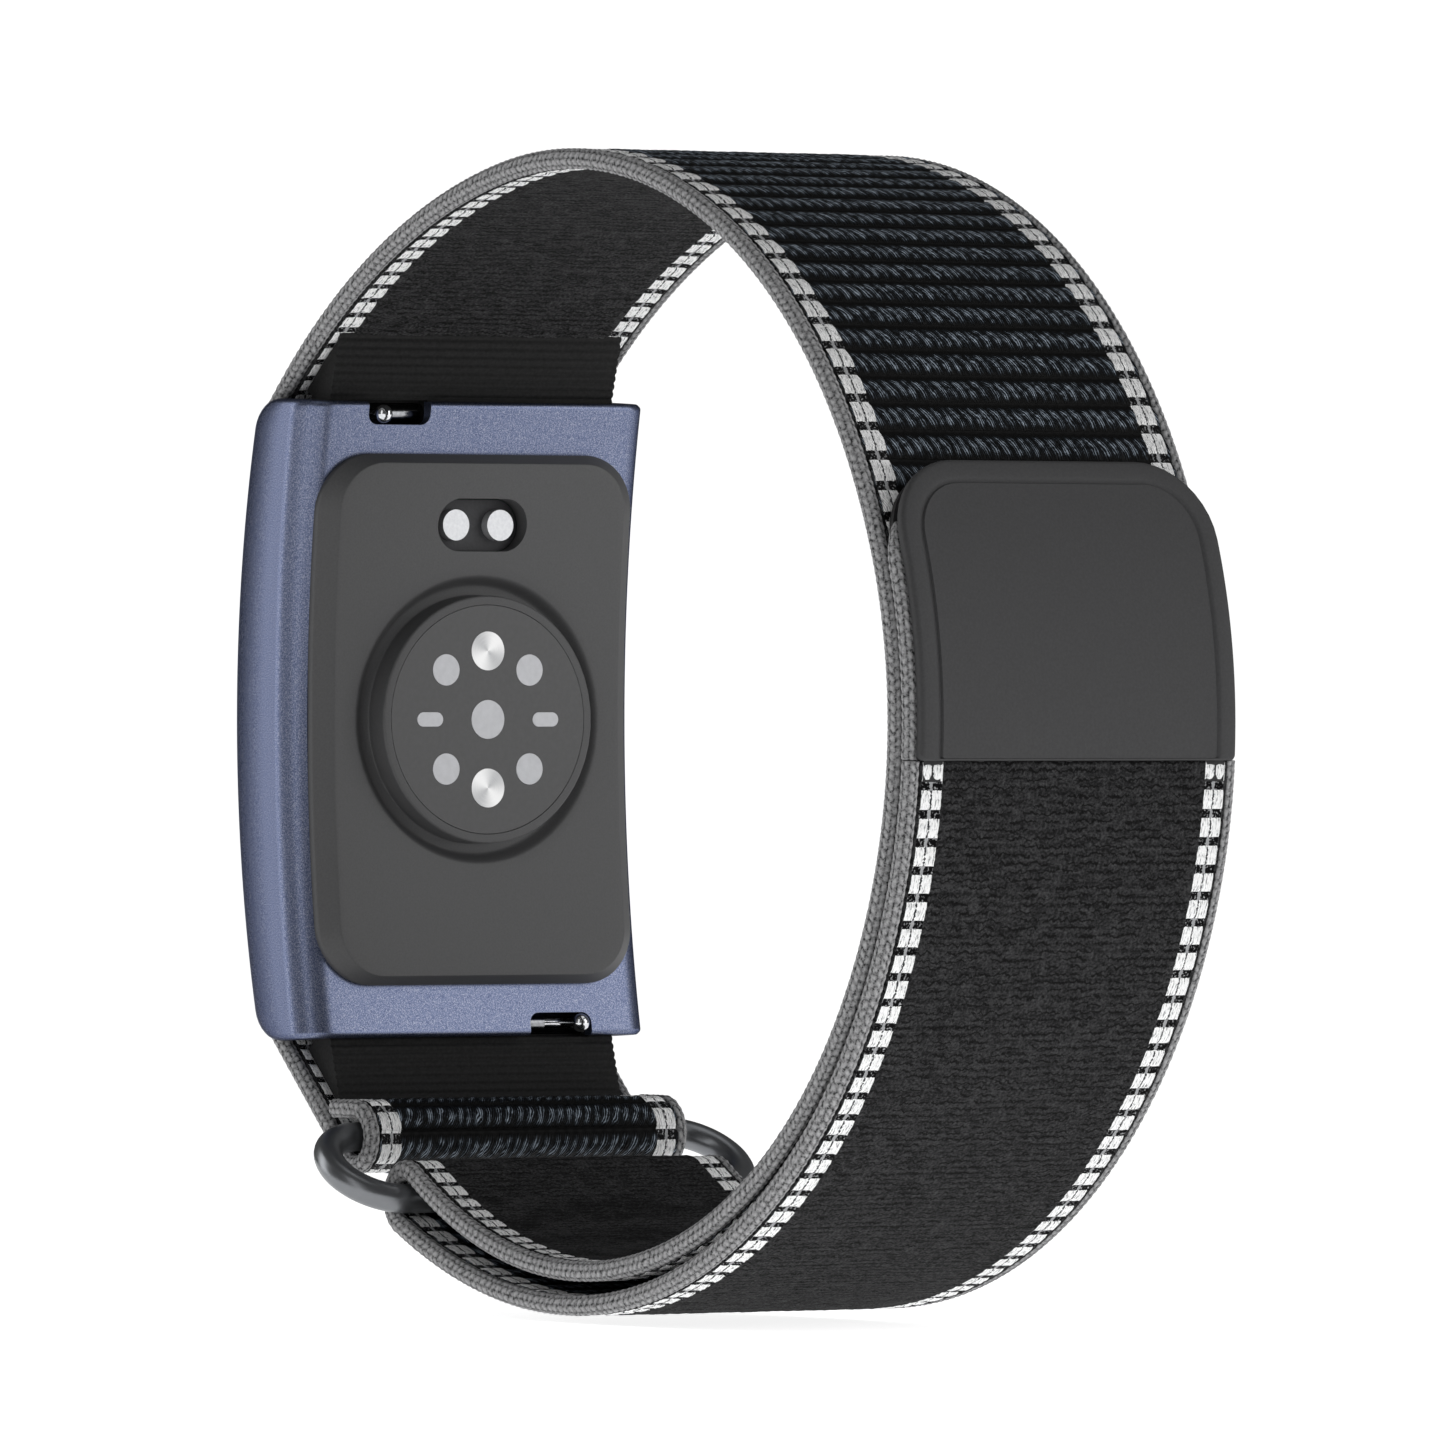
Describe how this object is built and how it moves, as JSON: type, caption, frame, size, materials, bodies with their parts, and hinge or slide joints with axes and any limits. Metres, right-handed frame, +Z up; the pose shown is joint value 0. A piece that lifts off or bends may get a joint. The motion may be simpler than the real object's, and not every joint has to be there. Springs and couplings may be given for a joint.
{
  "type": "fitness tracker band",
  "caption": "Wrist activity tracker with a bowed metal case on a woven hook-and-loop band that doubles back through a slide ring.",
  "frame": {"origin": "centre of the wrist loop, level with the middle of the case", "axes": "+X from the tracker across the wrist to the end tab, +Y across the band, +Z up along the tracker"},
  "size_m": [0.0797, 0.033, 0.0746],
  "materials": {
    "case_paint": "fine metallic blue paint",
    "glass_front": "dark glass",
    "display": "black",
    "flex": "amber film",
    "carrier_plastic": "moulded",
    "battery_foil": "foil",
    "board": "solder mask",
    "steel": "satin",
    "chip": "matte",
    "cover_plastic": "fine matte grey",
    "gasket": "matte",
    "lens": "satin",
    "electrode": "radially brushed",
    "window": "pale translucent",
    "contact": "plated",
    "bar_chrome": "polished",
    "sleeve_fabric": "fine ribbed black",
    "weave": "ribbed blue-black weave with silver dashes",
    "pile": "brushed loop pile with silver dashes",
    "piping_fabric": "braided grey",
    "tab_rubber": "matte dark grey",
    "hook": "hook tape",
    "ring_metal": "satin gunmetal"
  },
  "bodies": {
    "tracker": {"case_frame": "case_paint", "cover_glass": "glass_front", "display_panel": "display", "display_flex": "flex", "inner_carrier": "carrier_plastic", "battery": "battery_foil", "main_board": "board", "shield_can": "steel", "board_chips": "chip", "motor_can": "steel", "back_cover": "cover_plastic", "cover_gasket": "gasket", "case_screws": "steel", "sensor_lens": "lens", "sensor_board": "board", "sensor_electrodes": "electrode", "corner_windows": "window", "middle_window": "window", "side_windows": "window", "contact_base": "cover_plastic", "charge_contacts": "contact", "upper_bar_tube": "bar_chrome", "lower_bar_tube": "bar_chrome", "upper_bar_spring": "steel", "lower_bar_spring": "steel"},
    "motor_rotor": {"motor_shaft": "steel", "eccentric_weight": "steel"},
    "upper_latch": {"upper_release_pin": "bar_chrome"},
    "lower_latch": {"lower_release_pin": "bar_chrome"},
    "band": {"upper_sleeve": "sleeve_fabric", "long_band": "weave", "long_band_piping": "piping_fabric", "band_fold": "pile", "band_fold_piping": "piping_fabric"},
    "tail": {"tail_band": "pile", "tail_band_piping": "piping_fabric"},
    "tab": {"end_tab": "tab_rubber", "hook_pad": "hook"},
    "keeper": {"lower_sleeve": "sleeve_fabric", "keeper_band": "weave", "keeper_band_piping": "piping_fabric"},
    "ring": {"slide_ring": "ring_metal"}
  },
  "joints": [
    {"name": "keeper_pivot", "type": "hinge", "parent": "tracker", "child": "keeper", "pos_m": [-0.0354, 0, -0.02], "axis": [0, 1, 0], "range_deg": [-8, 4], "deforming": ["band_fold", "band_fold_piping"]},
    {"name": "ring_swivel", "type": "hinge", "parent": "keeper", "child": "ring", "pos_m": [-0.0295, 0, -0.02717], "axis": [0, 1, 0], "range_deg": [-8, 15], "deforming": ["band_fold", "band_fold_piping"]},
    {"name": "band_pivot", "type": "hinge", "parent": "tracker", "child": "band", "pos_m": [-0.0354, 0, 0.02], "axis": [0, 1, 0], "range_deg": [-0.7, 0.4], "deforming": ["band_fold", "band_fold_piping"]},
    {"name": "tail_peel", "type": "hinge", "parent": "band", "child": "tail", "pos_m": [-0.02344, 0, -0.03105], "axis": [0, 1, 0], "range_deg": [0, 60], "deforming": ["band_fold", "band_fold_piping"]},
    {"name": "tab_peel", "type": "hinge", "parent": "tail", "child": "tab", "pos_m": [0.03507, 0, -0.00277], "axis": [0, 1, 0], "range_deg": [0, 70]},
    {"name": "upper_release", "type": "slide", "parent": "tracker", "child": "upper_latch", "axis": [0, 1, 0], "range_m": [0, 0.0013], "stiffness_N_per_m": 600, "springref_m": -0.001, "deforming": ["upper_bar_spring"]},
    {"name": "lower_release", "type": "slide", "parent": "tracker", "child": "lower_latch", "axis": [0, -1, 0], "range_m": [0, 0.0013], "stiffness_N_per_m": 600, "springref_m": -0.001, "deforming": ["lower_bar_spring"]},
    {"name": "motor_spin", "type": "hinge", "parent": "tracker", "child": "motor_rotor", "pos_m": [-0.03925, 0, -0.0132], "axis": [0, 1, 0], "continuous": true}
  ],
  "couplings": [
    {"joint": "ring_swivel", "follows": "keeper_pivot", "ratio": -1.82},
    {"joint": "band_pivot", "follows": "keeper_pivot", "ratio": 0.078}
  ]
}
